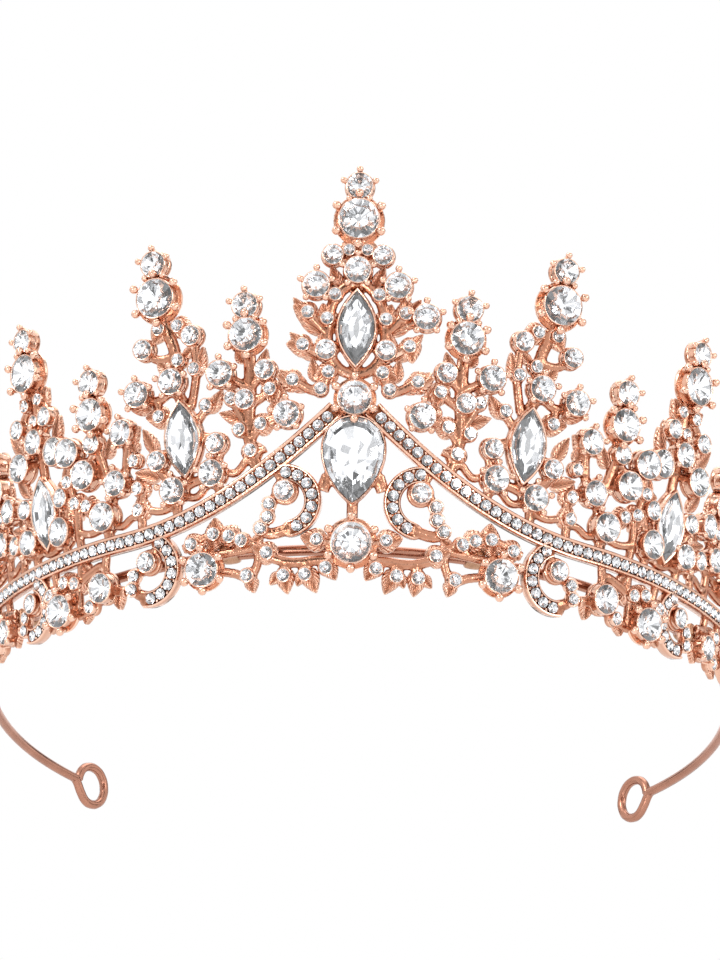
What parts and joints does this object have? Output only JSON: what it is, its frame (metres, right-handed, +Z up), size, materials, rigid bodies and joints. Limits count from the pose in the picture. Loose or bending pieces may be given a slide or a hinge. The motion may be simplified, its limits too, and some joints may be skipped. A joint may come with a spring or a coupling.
{
  "type": "bridal tiara",
  "caption": "Rose-gold openwork tiara of soldered castings set with clear stones, on a bent wire headband that ends in round eyes.",
  "frame": {"origin": "on the table, under the centre of the head ring", "axes": "+X to the viewer's right, -Y to the front where the tall centre spire stands, +Z up through the head ring"},
  "size_m": [0.141, 0.1404, 0.0665],
  "materials": {
    "plated_casting": "polished rose-gold plating over a cast alloy",
    "wire": "smooth copper-toned rose-gold plated round wire",
    "solder": "satin solder, plated over",
    "crystal": "clear cut glass with a foil back"
  },
  "bodies": {
    "root": {"headband_wire": "wire", "end_loop_left": "wire", "end_loop_right": "wire", "wire_saddles": "solder", "center_panel": "plated_casting", "center_crest": "plated_casting", "rail_left": "plated_casting", "rail_right": "plated_casting", "inner_scroll_left": "plated_casting", "inner_scroll_right": "plated_casting", "middle_scroll_left": "plated_casting", "middle_scroll_right": "plated_casting", "outer_scroll_left": "plated_casting", "outer_scroll_right": "plated_casting", "end_scroll_left": "plated_casting", "end_scroll_right": "plated_casting", "leaf_spray_left": "plated_casting", "leaf_spray_right": "plated_casting", "hem_inner_left": "plated_casting", "hem_inner_right": "plated_casting", "hem_middle_left": "plated_casting", "hem_middle_right": "plated_casting", "hem_outer_left": "plated_casting", "hem_outer_right": "plated_casting", "small_spire_left": "plated_casting", "small_spire_right": "plated_casting", "tall_spire_left": "plated_casting", "tall_spire_right": "plated_casting", "second_small_spire_left": "plated_casting", "second_small_spire_right": "plated_casting", "second_tall_spire_left": "plated_casting", "second_tall_spire_right": "plated_casting", "end_spire_left": "plated_casting", "end_spire_right": "plated_casting", "pear_stone": "crystal", "marquise_stones": "crystal", "round_stones_6_5mm": "crystal", "round_stones_5_4mm": "crystal", "round_stones_4_8mm": "crystal", "round_stones_4_2mm": "crystal", "round_stones_3_2mm": "crystal", "accent_stones_2mm": "crystal", "rail_stones_left": "crystal", "rail_stones_right": "crystal", "scroll_stones_left": "crystal", "scroll_stones_right": "crystal"}
  },
  "joints": []
}
